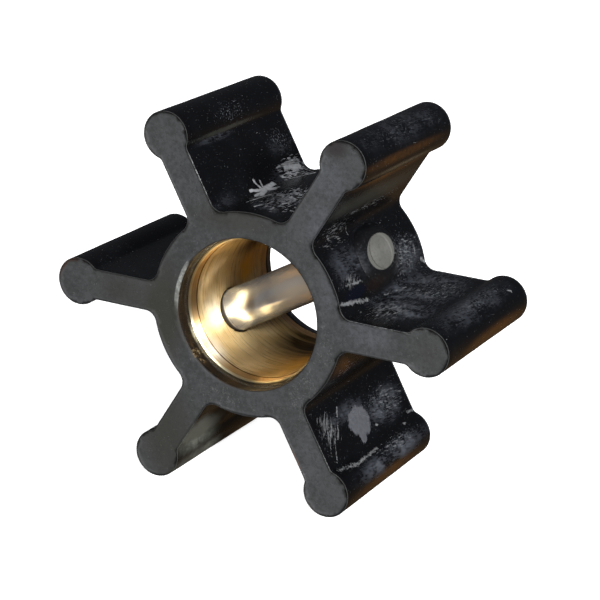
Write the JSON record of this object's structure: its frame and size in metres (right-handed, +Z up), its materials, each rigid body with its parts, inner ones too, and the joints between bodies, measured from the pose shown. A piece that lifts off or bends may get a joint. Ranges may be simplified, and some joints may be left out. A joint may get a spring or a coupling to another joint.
{
  "type": "pump impeller",
  "caption": "Flexible pump impeller: black rubber with straight bulb-tipped vanes, a bonded brass bush and a steel drive pin across its bore.",
  "frame": {"origin": "on the shaft axis, half way between the two end faces", "axes": "+Y along the shaft axis, from the front face to the back face; +Z up, with a vane along +X"},
  "size_m": [0.048, 0.022, 0.0424],
  "materials": {
    "rubber": "matte moulded nitrile or neoprene rubber",
    "brass": "turned",
    "steel": "ground, satin"
  },
  "bodies": {
    "root": {"rubber_rotor": "rubber", "brass_bush": "brass", "drive_pin": "steel"}
  },
  "joints": []
}
